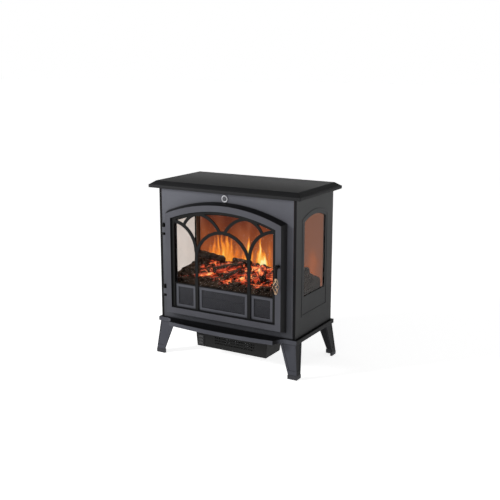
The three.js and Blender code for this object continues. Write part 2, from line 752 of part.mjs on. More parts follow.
function fire() {
  const floor = span(-FIRE_HALF, FIRE_HALF, FIRE_FRONT, SCREEN_Y - 4, FIREBOX_FLOOR - 2, FIREBOX_FLOOR);
  const lamp = span(-170, 170, -60, 20, FIREBOX_FLOOR - 5, FIREBOX_FLOOR + 1);
  add("firebox_floor", cut(floor, [lamp]), BLACK_IRON);
  const screen = span(-FIRE_HALF, FIRE_HALF, SCREEN_Y, SCREEN_Y + 3, FIREBOX_FLOOR, CABINET_TOP - 12);
  add("flame_screen", screen, SCREEN);
  add("ember_bed", emberBed(), EMBER);
  const z = FIREBOX_FLOOR;
  const logs = [
    [[-232, 40, z + 77], [-100, 12, z + 73], 14],
    [[-94, -70, z + 51], [-14, 0, z + 68], 13],
    [[-78, 42, z + 70], [4, 32, z + 69], 10],
    [[-34, -96, z + 38], [12, -48, z + 58], 12],
    [[112, -78, z + 48], [70, 4, z + 70], 13],
    [[146, -34, z + 61], [236, 30, z + 70], 14],
  ];
  logs.forEach(([from, to, radius], i) => {
    add(`log_${i + 1}`, log(from, to, radius, i + 1), LOG);
  });
}

// ---------------------------------------------------------------- flame effect behind the screen

const ROTOR_Y = (SCREEN_Y + 3 + BACK - SHEET) / 2;
const ROTOR_Z = 305;
const ROTOR_HALF = 200;

// A shaft with small reflector blades that stand out at changing angles.
function flameRotor() {
  const pieces = [rod(2.5, ROTOR_HALF * 2 + 30, "x", 10).translate(-8, ROTOR_Y, ROTOR_Z)];
  const blades = 20;
  for (let i = 0; i < blades; i += 1) {
    const blade = new THREE.BoxGeometry(13, 0.8, 22);
    blade.rotateX((i * Math.PI * 2) / 5);
    const x = -ROTOR_HALF + 20 + (i * (ROTOR_HALF * 2 - 40)) / (blades - 1);
    pieces.push(blade.translate(x, ROTOR_Y, ROTOR_Z));
  }
  return joined(pieces);
}

function flameEffect() {
  add("flame_rotor", flameRotor(), STEEL);
  const motor = rod(14, 24, "x", 20).translate(-ROTOR_HALF - 36, ROTOR_Y, ROTOR_Z);
  const shelf = span(-ROTOR_HALF - 48, -ROTOR_HALF - 24, SCREEN_Y + 4, BACK - 3, ROTOR_Z - 24, ROTOR_Z - 13);
  add("flame_motor", joined([motor, shelf]), STEEL);
  const bearing = span(ROTOR_HALF - 3, ROTOR_HALF + 3, ROTOR_Y - 8, BACK - 3, ROTOR_Z - 8, ROTOR_Z + 8);
  const journal = rod(2.8, 20, "x", 10).translate(ROTOR_HALF, ROTOR_Y, ROTOR_Z);
  add("rotor_bearing", cut(bearing, [journal]), BLACK_PLASTIC);
  const strip = [span(-195, 195, SCREEN_Y + 5, SCREEN_Y + 29, ROTOR_Z - 42, ROTOR_Z - 40)];
  for (let i = -6; i <= 6; i += 1) {
    strip.push(span(i * 28 - 3, i * 28 + 3, ROTOR_Y - 3, ROTOR_Y + 3, ROTOR_Z - 40.5, ROTOR_Z - 38));
  }
  add("flame_light_board", joined(strip), BOARD);
  const embers = [span(-165, 165, -55, 15, FIREBOX_FLOOR - 22, FIREBOX_FLOOR - 20)];
  for (let i = -5; i <= 5; i += 1) {
    embers.push(span(i * 28 - 3, i * 28 + 3, -23, -17, FIREBOX_FLOOR - 20.5, FIREBOX_FLOOR - 18));
  }
  add("ember_light_board", joined(embers), BOARD);
}

// ---------------------------------------------------------------- fan heater

const HEATER_FRONT = FRONT + 34;
const HEATER_BOTTOM = 36;
const HEATER_TOP = FLOOR_TO_PLATE + PLATE_HEIGHT - 3 - GAP;
const CONTROL_X = -125;
const SWITCHES = { power: 72.5, heat: 60.5, flame: 48.5 };
const FAN_Y = HEATER_FRONT + 62;
const FAN_Z = 84;

// A tapered pan under the hearth plate, open at the top, with rows of outlet slots in its front.
function heaterHousing() {
  const skin = loft([
    rectangleRing(-142, 142, HEATER_FRONT, HEATER_FRONT + 100, HEATER_BOTTOM),
    rectangleRing(-151, 151, HEATER_FRONT, HEATER_FRONT + 112, HEATER_TOP),
  ]);
  const hollow = loft([
    rectangleRing(-140, 140, HEATER_FRONT + 1.5, HEATER_FRONT + 98, HEATER_BOTTOM + 1.5),
    rectangleRing(-149.5, 149.5, HEATER_FRONT + 1.5, HEATER_FRONT + 110.5, HEATER_TOP + 1),
  ]);
  const holes = [hollow, span(CONTROL_X - 11, CONTROL_X + 11, HEATER_FRONT - 2, HEATER_FRONT + 4, 43, 78)];
  for (const z of [54, 64, 74]) {
    for (let i = 0; i < 20; i += 1) {
      const x = -66 + i * 8.2;
      holes.push(span(x, x + 5, HEATER_FRONT - 2, HEATER_FRONT + 4, z, z + 4.5));
    }
  }
  return cut(skin, holes);
}

function rocker(z) {
  const profile = new THREE.Shape([
    new THREE.Vector2(CONTROL_X - 7.5, HEATER_FRONT + 4),
    new THREE.Vector2(CONTROL_X - 8.6, HEATER_FRONT - 3.4),
    new THREE.Vector2(CONTROL_X, HEATER_FRONT - 1.6),
    new THREE.Vector2(CONTROL_X + 8.6, HEATER_FRONT - 3.4),
    new THREE.Vector2(CONTROL_X + 7.5, HEATER_FRONT + 4),
  ].reverse());
  return slabXY(profile, z - 4.2, z + 4.2);
}

function controlBezel() {
  const plate = span(CONTROL_X - 12.5, CONTROL_X + 12.5, HEATER_FRONT - 1.8, HEATER_FRONT - GAP, 41, 80);
  const openings = Object.values(SWITCHES).map((z) =>
    span(CONTROL_X - 10, CONTROL_X + 10, HEATER_FRONT - 3, HEATER_FRONT + 3, z - 4.9, z + 4.9),
  );
  return cut(plate, openings);
}

// Crossflow fan wheel: blades between end discs, on a shaft.
function blowerWheel() {
  const half = 92;
  const pieces = [rod(3, half * 2 + 34, "x", 10).translate(9, 0, 0)];
  pieces.push(rod(23, 2, "x", 24).translate(-half, 0, 0));
  pieces.push(rod(23, 2, "x", 24).translate(half, 0, 0), rod(23, 2, "x", 24));
  const blades = 16;
  for (let i = 0; i < blades; i += 1) {
    const blade = new THREE.BoxGeometry(half * 2, 1, 8).rotateX(0.6).translate(0, 0, 18.5);
    pieces.push(blade.rotateX((i / blades) * Math.PI * 2));
  }
  return joined(pieces).translate([0, FAN_Y, FAN_Z]);
}

function heatingElement() {
  const y = HEATER_FRONT + 24;
  const rail = (z) => span(-100, 100, y - 6, y + 6, z - 2, z + 2);
  const pieces = [rail(50), rail(82)];
  for (let i = -12; i <= 12; i += 1) {
    pieces.push(span(i * 8 - 0.8, i * 8 + 0.8, y - 5, y + 5, 49, 83));
  }
  return joined(pieces);
}

function heater() {
  add("heater_housing", heaterHousing(), BLACK_IRON);
  add("control_bezel", controlBezel(), BLACK_PLASTIC);
  for (const [name, z] of Object.entries(SWITCHES)) {
    add(`${name}_switch`, rocker(z), BLACK_PLASTIC);
  }
  add("heating_element", heatingElement(), STEEL);
  add("blower_wheel", blowerWheel(), STEEL);
  const motor = rod(20, 22, "x", 20).translate(120, FAN_Y, FAN_Z);
  add("blower_motor", cut(motor, [rod(3.4, 40, "x", 10).translate(100, FAN_Y, FAN_Z)]), STEEL);
  const cutOut = rod(8, 6, "y").translate(-112, HEATER_FRONT + 24, 66);
  const tab = span(-121, -101, HEATER_FRONT + 27, HEATER_FRONT + 28.5, 58, 74);
  add("thermal_cut_out", joined([cutOut, tab]), BRASS);
  const chips = [span(120, 230, 20, 90, 160, 162)];
  for (const [x, y, w, d, h] of [
    [132, 30, 24, 18, 20],
    [165, 30, 16, 16, 16],
    [190, 30, 30, 12, 12],
    [134, 62, 40, 20, 8],
    [186, 62, 20, 20, 24],
  ]) {
    chips.push(span(x, x + w, y, y + d, 161.5, 162 + h));
  }
  add("control_board", joined(chips), BOARD);
  const bush = [
    [4.5, -7],
    [12, -7],
    [12, -GAP - 0.1],
    [8.6, -GAP - 0.1],
    [8.6, 8],
    [4.5, 8],
    [4.5, -7],
  ].map(([r, h]) => new THREE.Vector2(r, h));
  const gland = new THREE.LatheGeometry(bush, 16).rotateX(Math.PI);
  add("cord_gland", gland.translate(CORD_X, BACK, CORD_Z), BLACK_PLASTIC);
}

cabinet();
door();
badge();
fire();
flameEffect();
heater();

// The origin goes to the middle of the footprint.
const footprint = new THREE.Box3().setFromObject(fireplace).getCenter(new THREE.Vector3());
fireplace.position.set(-footprint.x, -footprint.y, 0);

export default fireplace;
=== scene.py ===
import json
import math
import random

import bmesh
import bpy
from mathutils import Matrix, Vector, noise

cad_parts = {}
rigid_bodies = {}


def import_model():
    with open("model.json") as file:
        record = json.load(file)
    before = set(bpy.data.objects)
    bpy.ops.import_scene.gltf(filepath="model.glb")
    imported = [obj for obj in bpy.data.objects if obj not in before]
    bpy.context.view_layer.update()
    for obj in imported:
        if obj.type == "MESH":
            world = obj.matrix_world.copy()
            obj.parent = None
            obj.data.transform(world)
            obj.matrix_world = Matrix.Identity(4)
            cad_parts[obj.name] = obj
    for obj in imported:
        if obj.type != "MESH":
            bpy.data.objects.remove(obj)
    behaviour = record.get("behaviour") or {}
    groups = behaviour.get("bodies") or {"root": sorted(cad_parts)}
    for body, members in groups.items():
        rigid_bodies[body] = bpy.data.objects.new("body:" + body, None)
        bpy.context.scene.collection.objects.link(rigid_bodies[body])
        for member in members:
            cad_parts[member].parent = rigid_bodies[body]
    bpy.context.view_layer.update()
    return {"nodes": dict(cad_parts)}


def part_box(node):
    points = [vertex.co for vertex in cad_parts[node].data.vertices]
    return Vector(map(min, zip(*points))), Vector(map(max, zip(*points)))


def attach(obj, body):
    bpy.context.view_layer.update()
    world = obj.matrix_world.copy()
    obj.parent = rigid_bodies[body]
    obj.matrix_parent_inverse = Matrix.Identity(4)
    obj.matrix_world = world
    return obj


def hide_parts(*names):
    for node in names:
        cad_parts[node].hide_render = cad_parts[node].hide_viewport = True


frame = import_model()
MM = 0.001


# ---------------------------------------------------------------- materials


class Finish:
    """A Principled material whose patterns are laid out in metres in the part's own frame."""

    def __init__(self, name, place="Object"):
        self.material = bpy.data.materials.new(name)
        self.material.use_nodes = True
        self.tree = self.material.node_tree
        self.shader = self.tree.nodes["Principled BSDF"]
        if place == "Object":
            self.place = self.tree.nodes.new("ShaderNodeTexCoord").outputs["Object"]
        else:
            self.place = self.attribute(place, "Vector")

    def node(self, kind, inputs=None, **settings):
        made = self.tree.nodes.new("ShaderNode" + kind)
        for key, value in settings.items():
            setattr(made, key, value)
        for key, value in (inputs or {}).items():
            self.feed(made.inputs[key], value)
        return made

    def feed(self, socket, value):
        if isinstance(value, bpy.types.NodeSocket):
            self.tree.links.new(value, socket)
        else:
            socket.default_value = value

    def attribute(self, name, output="Fac"):
        return self.node("Attribute", attribute_name=name).outputs[output]

    def maths(self, operation, a, b=0.0, c=0.0, clamp=False):
        made = self.node("Math", {0: a, 1: b, 2: c}, operation=operation, use_clamp=clamp)
        return made.outputs[0]

    def stretched(self, stretch):
        return self.node("VectorMath", {0: self.place, 1: stretch}, operation="MULTIPLY").outputs[0]

    def noise(self, scale, detail=3.0, stretch=None, distortion=0.0):
        place = self.stretched(stretch) if stretch else self.place
        inputs = {"Vector": place, "Scale": scale, "Detail": detail, "Distortion": distortion}
        return self.node("TexNoise", inputs).outputs["Fac"]

    def cells(self, scale, stretch=None, feature="DISTANCE_TO_EDGE"):
        place = self.stretched(stretch) if stretch else self.place
        made = self.node("TexVoronoi", {"Vector": place, "Scale": scale}, feature=feature)
        return made.outputs["Distance"]

    def ramp(self, factor, stops):
        made = self.node("ValToRGB", {"Fac": factor})
        elements = made.color_ramp.elements
        for element, (position, colour) in ((elements[1], stops[-1]), (elements[0], stops[0])):
            element.position = position
            element.color = (*colour, 1.0)
        for position, colour in stops[1:-1]:
            elements.new(position).color = (*colour, 1.0)
        return made.outputs["Color"]

    def span(self, factor, low, high, to_low=0.0, to_high=1.0):
        inputs = {"Value": factor, 1: low, 2: high, 3: to_low, 4: to_high}
        return self.node("MapRange", inputs, clamp=True).outputs[0]

    def mix(self, factor, a, b):
        made = self.node("Mix", data_type="RGBA")
        for socket, value in zip((made.inputs[0], made.inputs[6], made.inputs[7]), (factor, a, b)):
            self.feed(socket, value if not isinstance(value, tuple) else (*value, 1.0))
        return made.outputs[2]

    def bump(self, height, strength, distance):
        inputs = {"Height": height, "Strength": strength, "Distance": distance}
        self.feed(self.shader.inputs["Normal"], self.node("Bump", inputs).outputs["Normal"])

    def set(self, **values):
        for key, value in values.items():
            self.feed(self.shader.inputs[key.replace("_", " ")], value)


BLACK = (0.0, 0.0, 0.0)
# Near black: painted shade in creases and on faces turned from the light, and the dark cut edges of the
# lining.
DEEP = (0.006, 0.006, 0.007)
# Painted firelight: the brown of faces inside the firebox.
FIRELIT_BROWN = (0.13, 0.088, 0.062)
# Painted shade: how much darker the paint gets at the floor, and the height where that fades out.
FLOOR_SHADE = 0.16
FLOOR_SHADE_TOP = 0.60
# Painted shade in creases: how far the ambient occlusion reaches.
CREVICE_REACH = 0.007


def stove_paint(name, dark, light, shaded=None, faces=None, specular=0.25, floor_shade=FLOOR_SHADE):
    """Satin stove paint with slow mottling and a fine powder grain, and painted shade that darkens it near
    the floor and in creases.

    Where faces is a mask, the faces it picks out keep the paint's own tone and the others are shaded.
    """
    coat = Finish(name)
    slow = coat.noise(7.0, 2.0)
    speckle = coat.noise(900.0, 2.0)
    tone = coat.ramp(coat.maths("MULTIPLY_ADD", speckle, 0.35, coat.maths("MULTIPLY", slow, 0.65)),
                     [(0.36, dark), (0.64, light)])
    if shaded:
        tone = coat.mix(faces(coat), shaded(coat) if callable(shaded) else shaded, tone)
    height = coat.node("SeparateXYZ", {0: coat.place}).outputs[2]
    # Painted shade: the tone darkens towards the floor.
    tone = coat.mix(coat.span(height, 0.02, FLOOR_SHADE_TOP, floor_shade, 0.0), tone, BLACK)
    # Painted shade: ambient occlusion turns creases, gaps and recesses near black.
    crevice = coat.node("AmbientOcclusion", {"Distance": CREVICE_REACH}, samples=6).outputs["AO"]
    tone = coat.mix(coat.span(crevice, 0.30, 0.92), DEEP, tone)
    coat.set(Base_Color=tone, Roughness=coat.span(speckle, 0.3, 0.7, 0.46, 0.62))
    coat.shader.inputs["Specular IOR Level"].default_value = specular
    coat.bump(coat.noise(1300.0, 2.0), 0.22, 0.0004)
    return coat.material


def facing(axis, low, high):
    """A mask that is 1 where a face looks along the axis, either way, and 0 where it looks across it."""

    def mask(coat):
        normal = coat.node("NewGeometry").outputs["True Normal"]
        part = coat.node("SeparateXYZ", {0: normal}).outputs[axis]
        return coat.span(coat.maths("ABSOLUTE", part), low, high)

    return mask


def sideways(coat):
    """1 on a face that looks left or right away from the middle of the stove, -1 on one that looks inward."""
    normal = coat.node("NewGeometry").outputs["True Normal"]
    part = coat.node("SeparateXYZ", {0: normal}).outputs[0]
    side = coat.maths("SIGN", coat.node("SeparateXYZ", {0: coat.place}).outputs[0])
    return coat.maths("MULTIPLY", part, side)


def outward(coat):
    """A mask that is 1 on the outer faces of the side panels."""
    return coat.span(sideways(coat), 0.3, 0.8)


def lining(coat):
    """Painted firelight: brown on the faces that look into the firebox, near black on the cut edges."""
    return coat.mix(coat.span(sideways(coat), -0.8, -0.3), FIRELIT_BROWN, DEEP)


def moulded(name, dark, light, roughness, specular=0.35):
    """Moulded plastic with a fine spark-eroded grain."""
    coat = Finish(name)
    grain = coat.noise(1600.0, 2.0)
    coat.set(Base_Color=coat.ramp(coat.noise(60.0, 4.0), [(0.3, dark), (0.7, light)]))
    coat.set(Roughness=coat.span(grain, 0.3, 0.7, roughness - 0.06, roughness + 0.08))
    coat.shader.inputs["Specular IOR Level"].default_value = specular
    coat.bump(grain, 0.2, 0.0002)
    return coat.material


def worn_metal(name, dark, light, roughness, stretch=(1, 1, 1)):
    """Bare metal with drawn marks along one direction and a slow tarnish."""
    coat = Finish(name)
    marks = coat.noise(500.0, 3.0, stretch)
    tarnish = coat.noise(90.0, 4.0)
    coat.set(Base_Color=coat.ramp(tarnish, [(0.34, dark), (0.66, light)]))
    coat.set(Roughness=coat.span(marks, 0.3, 0.7, roughness - 0.08, roughness + 0.12))
    coat.shader.inputs["Metallic"].default_value = 1.0
    coat.bump(marks, 0.12, 0.0002)
    return coat.material


def glass(name, tint, clear, ior=1.06):
    """Smooth glass whose tint wanders slowly over the pane."""
    pane = Finish(name)
    pane.set(Base_Color=pane.ramp(pane.noise(9.0, 3.0), [(0.3, tint), (0.7, clear)]))
    pane.shader.inputs["Roughness"].default_value = 0.0
    pane.shader.inputs["Transmission Weight"].default_value = 1.0
    pane.shader.inputs["IOR"].default_value = ior
    return pane.material


FLAMES = [
    # x, height of the foot and of the tip, half width, heat
    (-0.214, 0.290, 0.380, 0.014, 0.40),
    (-0.196, 0.290, 0.415, 0.018, 0.52),
    (-0.176, 0.290, 0.440, 0.013, 0.58),
    (-0.158, 0.290, 0.432, 0.012, 0.66),
    (-0.142, 0.290, 0.440, 0.018, 0.70),
    (-0.122, 0.290, 0.420, 0.016, 0.62),
    (-0.098, 0.300, 0.390, 0.018, 0.42),
    (-0.074, 0.300, 0.370, 0.018, 0.40),
    (-0.050, 0.310, 0.425, 0.016, 0.98),
    (-0.032, 0.300, 0.375, 0.018, 0.50),
    (0.003, 0.325, 0.425, 0.013, 0.95),
    (0.018, 0.290, 0.375, 0.015, 1.05),
    (0.040, 0.290, 0.420, 0.022, 0.34),
    (0.095, 0.290, 0.430, 0.016, 0.72),
    (0.125, 0.290, 0.390, 0.018, 0.50),
    (0.172, 0.290, 0.400, 0.030, 0.20),
    (0.215, 0.290, 0.420, 0.036, 0.26),
]


SWAY = 0.034


def flame_heat(screen):
    """Adds up the pointed flames, swayed by a slow noise and drawn out in upright streaks."""
    part = screen.node("SeparateXYZ", {0: screen.place})
    sway = screen.maths("SUBTRACT", screen.noise(26.0, 3.0, (1.0, 1.0, 0.7)), 0.5)
    x = screen.maths("MULTIPLY_ADD", sway, SWAY, part.outputs[0])
    z = part.outputs[2]
    total = None
    for middle, foot, tip, half, heat in FLAMES:
        rise = screen.maths("MAXIMUM", screen.span(z, foot, tip, 0.0, 1.0), 0.0)
        width = screen.maths("MULTIPLY_ADD", rise, -half * 1.3, half * 1.35)
        off = screen.maths("ABSOLUTE", screen.maths("SUBTRACT", x, middle))
        core = screen.maths("SUBTRACT", 1.0, screen.maths("DIVIDE", off, width), clamp=True)
        fade = screen.span(rise, 0.55, 1.0, heat, 0.0)
        lit = screen.maths("MULTIPLY", screen.maths("POWER", core, 0.8), fade)
        total = lit if total is None else screen.maths("ADD", total, lit)
    streak = screen.span(screen.noise(95.0, 2.0, (1.0, 1.0, 0.12)), 0.3, 0.7, 0.78, 1.15)
    return screen.maths("MULTIPLY", total, streak)


def flame_screen():
    """The lit back wall: brown haze, redder towards the top, with the flames thrown on it from behind."""
    screen = Finish("flame_screen_light")
    heat = flame_heat(screen)
    height = screen.node("SeparateXYZ", {0: screen.place}).outputs[2]
    haze = screen.noise(11.0, 3.0, (1.0, 1.0, 0.45), 0.6)
    low = screen.ramp(haze, [(0.34, (0.27, 0.062, 0.022)), (0.50, (0.37, 0.095, 0.030)),
                             (0.68, (0.42, 0.140, 0.060))])
    high = screen.ramp(haze, [(0.34, (0.075, 0.018, 0.010)), (0.50, (0.155, 0.042, 0.022)),
                              (0.68, (0.25, 0.095, 0.055))])
    wall = screen.mix(screen.span(height, 0.35, 0.47), low, high)
    side = screen.node("SeparateXYZ", {0: screen.place}).outputs[0]
    wall = screen.mix(screen.span(side, 0.10, 0.17), wall, (0.30, 0.112, 0.058))
    flame = screen.ramp(heat, [(0.10, (0.55, 0.16, 0.05)), (0.35, (0.80, 0.20, 0.03)),
                               (0.60, (0.95, 0.36, 0.05)), (0.85, (1.0, 0.66, 0.14)),
                               (1.00, (1.0, 0.90, 0.42))])
    light = screen.mix(screen.span(heat, 0.04, 0.40), wall, flame)
    screen.set(Base_Color=screen.mix(0.85, light, BLACK), Emission_Color=light)
    screen.shader.inputs["Emission Strength"].default_value = 0.92
    screen.shader.inputs["Specular IOR Level"].default_value = 0.0
    screen.shader.inputs["Roughness"].default_value = 0.7
    return screen.material


def fire_finish(name, crust):
    """Charred resin lit from inside: the heat laid on the mesh, broken up by grain, picks out what glows."""
    coat = Finish(name, "grain")
    heat = coat.attribute("warmth")
    fibre = coat.noise(150.0, 4.0, (0.22, 1.0, 1.0), 0.4)
    fleck = coat.noise(420.0, 3.0)
    mixed = coat.maths("MULTIPLY_ADD", coat.maths("SUBTRACT", fibre, 0.5), 1.5, heat)
    mixed = coat.maths("MULTIPLY_ADD", coat.maths("SUBTRACT", fleck, 0.5), 0.5, mixed)
    light = coat.ramp(mixed, [(0.34, BLACK), (0.46, (0.14, 0.012, 0.006)),
                              (0.60, (0.66, 0.058, 0.024)), (0.76, (0.98, 0.20, 0.055)),
                              (0.90, (1.0, 0.50, 0.12)), (1.0, (1.0, 0.78, 0.34))])
    ash = coat.ramp(coat.noise(70.0, 5.0), [(0.36, crust[0]), (0.60, crust[1]), (0.78, crust[2])])
    coat.set(Base_Color=ash, Emission_Color=light)
    coat.shader.inputs["Emission Strength"].default_value = 1.0
    coat.shader.inputs["Roughness"].default_value = 0.82
    coat.shader.inputs["Specular IOR Level"].default_value = 0.2
    coat.bump(coat.maths("ADD", fibre, coat.cells(110.0, (0.4, 1.0, 1.0))), 0.8, 0.002)
    return coat.material


def circuit_board():
    """Green solder mask with pale solder points."""
    coat = Finish("circuit_board_mask")
    points = coat.cells(170.0, feature="F1")
    coat.set(Base_Color=coat.ramp(points, [(0.12, (0.6, 0.6, 0.58)), (0.2, (0.02, 0.10, 0.045))]))
    coat.set(Roughness=coat.span(coat.noise(300.0), 0.3, 0.7, 0.3, 0.45))
    return coat.material


CHARCOAL = (0.050, 0.051, 0.062)
CHARCOAL_LIGHT = (0.064, 0.066, 0.079)
# Painted shadow on the legs: their sides, and all of the back legs.
LEG_SHADOW = (0.012, 0.012, 0.014)
TOP_GREY = (0.054, 0.054, 0.054)
# Painted shade: near black for the top plate's bevels and lip.
BEVEL_BLACK = (0.017, 0.017, 0.018)
# char, crust and ash of the two lit mouldings
EMBER_CRUST = ((0.022, 0.016, 0.012), (0.060, 0.044, 0.034), (0.15, 0.125, 0.105))
LOG_CRUST = ((0.014, 0.011, 0.009), (0.042, 0.030, 0.024), (0.12, 0.098, 0.084))

FINISHES = {
    "body_paint": stove_paint("body_paint_coat", CHARCOAL, CHARCOAL_LIGHT),
    "housing_paint": stove_paint("housing_paint_coat", (0.009, 0.009, 0.009), (0.014, 0.014, 0.014),
                                 specular=0.12),
    "black_iron": stove_paint("black_iron_coat", (0.004, 0.004, 0.004), (0.007, 0.007, 0.007),
                              specular=0.10),
    "foot_plastic": moulded("foot_plastic_grain", (0.026, 0.026, 0.030), (0.034, 0.034, 0.039), 0.6, 0.2),
    "black_plastic": moulded("black_plastic_grain", (0.010, 0.010, 0.011), (0.016, 0.016, 0.017), 0.5),
    "switch_plastic": moulded("switch_plastic_grain", (0.014, 0.014, 0.015), (0.02, 0.02, 0.021), 0.25, 0.5),
    "amber_glass": glass("side_glass_pane", (0.56, 0.50, 0.46), (0.62, 0.56, 0.52), 1.13),
    "door_glass": glass("door_glass_pane", (0.94, 0.92, 0.90), (0.98, 0.97, 0.96)),
    "flame_screen": flame_screen(),
    "ember_resin": fire_finish("ember_glow", EMBER_CRUST),
    "log_resin": fire_finish("log_char", LOG_CRUST),
    "grip_brass": worn_metal("grip_wire_metal", (0.22, 0.12, 0.065), (0.58, 0.42, 0.28), 0.26),
    "badge_metal": worn_metal("badge_satin", (0.62, 0.62, 0.64), (0.82, 0.82, 0.84), 0.32, (1, 1, 0.1)),
    "steel": worn_metal("zinc_steel", (0.35, 0.36, 0.38), (0.55, 0.56, 0.58), 0.38, (0.1, 1, 1)),
    "circuit_board": circuit_board(),
}

# Paints for single nodes and pieces, toned the way the photo's light falls on each part.
# Painted shade: the top plate's flat top is grey, its bevels and lip near black.
TOP_PAINT = stove_paint("top_plate_coat", TOP_GREY, TOP_GREY, BEVEL_BLACK, facing(2, 0.9, 0.99), 0.08)
# Painted shade: the hearth keeps the charcoal only on faces that look forward or back; its ledge top goes
# near black.
HEARTH_PAINT = stove_paint("hearth_coat", CHARCOAL, CHARCOAL_LIGHT, DEEP, facing(1, 0.45, 0.75), 0.12)
# Painted shade: the door frame's flanks and ledges go near black; only faces that look forward or back keep
# its grey.
DOOR_PAINT = stove_paint("door_coat", (0.043, 0.043, 0.053), (0.057, 0.058, 0.070), DEEP,
                         facing(1, 0.55, 0.9))
# Painted shade: the side panels' outer faces are a darker grey than the front, and darken strongly towards
# the floor.
SIDE_PAINT = stove_paint("side_coat", (0.050, 0.051, 0.052), (0.061, 0.062, 0.063), lining, outward,
                         specular=0.08, floor_shade=0.55)
# Painted shade: the legs keep the charcoal only on faces that look forward or back.
LEG_PAINT = stove_paint("leg_coat", CHARCOAL, CHARCOAL_LIGHT, LEG_SHADOW, facing(1, 0.45, 0.8), specular=0.10)
# Painted shadow: the back legs are near black all over.
BACK_LEG_PAINT = stove_paint("back_leg_coat", LEG_SHADOW, (0.018, 0.018, 0.021), specular=0.10)
# Painted light: the front panel is a lighter, bluer grey than the rest of the case, and darkens towards the
# floor.
FRONT_PAINT = stove_paint("front_coat", (0.067, 0.068, 0.082), (0.083, 0.086, 0.102), floor_shade=0.66)
# Painted firelight: the glass retainers inside the firebox are brown.
LINING_PAINT = stove_paint("lining_coat", (0.085, 0.058, 0.040), FIRELIT_BROWN)
GRILLE_PAINT = stove_paint("grille_coat", (0.050, 0.051, 0.061), (0.070, 0.071, 0.083))
FIN_PAINT = stove_paint("fin_coat", (0.075, 0.075, 0.080), (0.10, 0.10, 0.105), specular=0.15)
OWN_PAINT = {
    "front_panel": FRONT_PAINT,
    "top_plate": TOP_PAINT,
    "hearth_plate": HEARTH_PAINT,
    "door_frame": DOOR_PAINT,
}
for side in ("left", "right"):
    OWN_PAINT[f"{side}_glass_retainer"] = LINING_PAINT
    OWN_PAINT[f"{side}_side_panel"] = SIDE_PAINT
    OWN_PAINT[f"front_{side}_leg"] = LEG_PAINT
    OWN_PAINT[f"back_{side}_leg"] = BACK_LEG_PAINT
for pin in ("upper_hinge_pin", "lower_hinge_pin"):
    OWN_PAINT[pin] = FINISHES["black_iron"]

# Width of the softened edges in millimetres.
EDGE = {"door_lattice": 1.6, "top_plate": 1.2, "hearth_plate": 1.2, "door_frame": 1.4, "front_panel": 0.8}
PLAIN_EDGE = 0.6
# Dissolving flat faces breaks up a sheet with many holes, so the lattice is softened without it.
# The back panel's vents don't stand softening at all, so it stays sharp, like the panes and the badge.
PIERCED = ("door_lattice",)
SHARP = ("right_side_glass", "left_side_glass", "door_glass", "flame_screen", "round_badge", "back_panel")


def soften(node, width):
    """Rounds a CAD node's hard edges. Its own mesh stays as it is."""
    custom = node.data.attributes.get("custom_normal")
    if custom:
        node.data.attributes.remove(custom)
    node.data.shade_smooth()
    weld = node.modifiers.new("weld", "WELD")
    weld.merge_threshold = 0.01 * MM
    if node.name not in PIERCED:
        flat = node.modifiers.new("flat", "DECIMATE")
        flat.decimate_type = "DISSOLVE"
        flat.angle_limit = math.radians(0.6)
    edge = node.modifiers.new("edge", "BEVEL")
    edge.width = width * MM
    edge.segments = 3
    edge.limit_method = "ANGLE"
    edge.angle_limit = math.radians(35)
    edge.harden_normals = True


def dress_cad_nodes():
    """Gives each CAD node its finish and softens its edges."""
    for name, node in frame["nodes"].items():
        slot = node.data.materials[0].name.split(".")[0]
        node.data.materials[0] = OWN_PAINT.get(name, FINISHES[slot])
        if name not in SHARP:
            soften(node, EDGE.get(name, PLAIN_EDGE))


# ---------------------------------------------------------------- mesh helpers


def grown():
    """An empty mesh with the two layers that the fire finishes read."""
    bm = bmesh.new()
    bm.verts.layers.float.new("warmth")
    bm.verts.layers.float_vector.new("grain")
    return bm


def piece(name, bm, body, slot, replaced=(), smooth=True, finish=None):
    """Turns a bmesh into a piece that rides on a body and takes its finish from a slot."""
    bmesh.ops.recalc_face_normals(bm, faces=bm.faces)
    mesh = bpy.data.meshes.new(name)
    bm.to_mesh(mesh)
    bm.free()
    if smooth:
        mesh.shade_smooth()
    made = bpy.data.objects.new(name, mesh)
    bpy.context.scene.collection.objects.link(made)
    mesh.materials.append(finish or FINISHES[slot])
    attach(made, body)
    if replaced:
        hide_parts(*replaced)
    return made


def frames_along(points):
    """A tangent and two crosswise directions at each point, carried along without twist."""
    rows = []
    side = None
    for i, point in enumerate(points):
        ahead = (points[min(i + 1, len(points) - 1)] - points[max(i - 1, 0)]).normalized()
        if side is None:
            side = ahead.orthogonal().normalized()
        side = (side - ahead * side.dot(ahead)).normalized()
        rows.append((point, ahead, side, ahead.cross(side)))
    return rows


def sweep(bm, points, sides, radius, heat=None):
    """Adds a closed tube. radius(t, angle) is its size, heat(t, angle, place) its warmth."""
    warm = bm.verts.layers.float.get("warmth")
    grain = bm.verts.layers.float_vector.get("grain")
    rows = frames_along(points)
    rings = []
    travelled = 0.0
    for i, (point, _, across, up) in enumerate(rows):
        t = i / (len(rows) - 1)
        travelled += (point - rows[i - 1][0]).length if i else 0.0
        ring = []
        for j in range(sides):
            angle = math.tau * j / sides
            size = radius(t, angle)
            out = across * math.cos(angle) + up * math.sin(angle)
            vert = bm.verts.new(point + out * size)
            if grain:
                vert[grain] = (travelled, size * math.cos(angle), size * math.sin(angle))
            if warm and heat:
                vert[warm] = heat(t, angle, vert.co)
            ring.append(vert)
        rings.append(ring)
    for a, b in zip(rings, rings[1:]):
        for j in range(sides):
            k = (j + 1) % sides
            bm.faces.new((a[j], a[k], b[k], b[j]))
    cap(bm, rings[0], rows[0][0], warm, grain)
    cap(bm, rings[-1], rows[-1][0], warm, grain)


